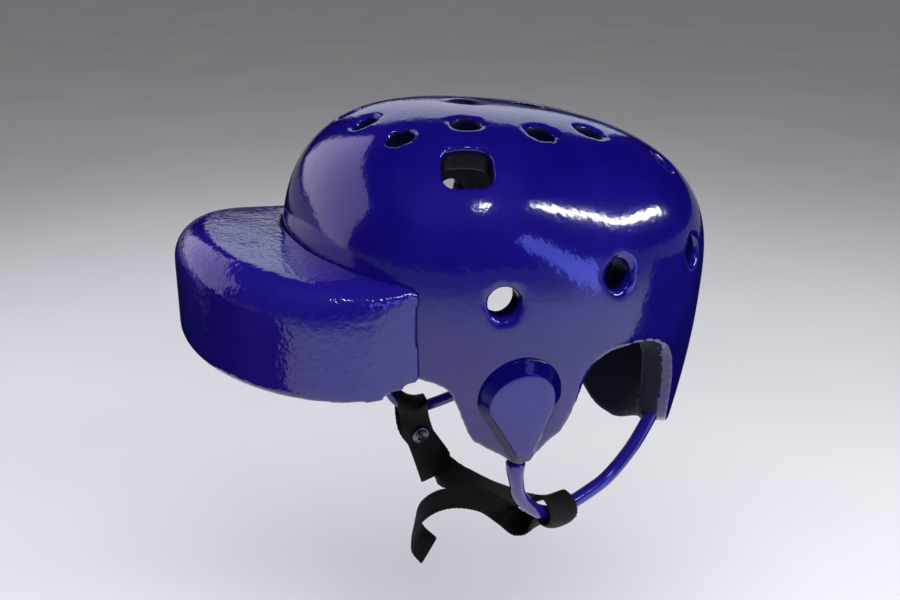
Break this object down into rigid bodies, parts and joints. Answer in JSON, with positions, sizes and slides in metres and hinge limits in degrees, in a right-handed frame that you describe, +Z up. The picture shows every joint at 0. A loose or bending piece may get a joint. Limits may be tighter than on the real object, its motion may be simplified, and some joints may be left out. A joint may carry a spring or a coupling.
{
  "type": "protective helmet",
  "caption": "Protective soft-shell foam helmet in glossy indigo vinyl, with a foam visor, ear pads, cord loops and a black chin strap with a snap",
  "frame": {"origin": "the highest point of the hollow, in the middle, where the helmet sits on the crown of a head", "axes": "the front is -Y, the wearer's left is +X and up is +Z"},
  "size_m": [0.1992, 0.276, 0.2585],
  "materials": {
    "shell_vinyl": "gloss",
    "visor_vinyl": "gloss",
    "pad_vinyl": "gloss",
    "cord_vinyl": "gloss",
    "strap_webbing": "woven",
    "snap_metal": "dark nickel"
  },
  "bodies": {
    "root": {"foam_shell": "shell_vinyl", "visor_block": "visor_vinyl", "ear_pad_left": "pad_vinyl", "ear_pad_right": "pad_vinyl", "cord_loop_left": "cord_vinyl", "cord_loop_right": "cord_vinyl", "chin_strap": "strap_webbing", "snap_cap_right": "snap_metal", "snap_plain_left": "snap_metal"}
  },
  "joints": []
}
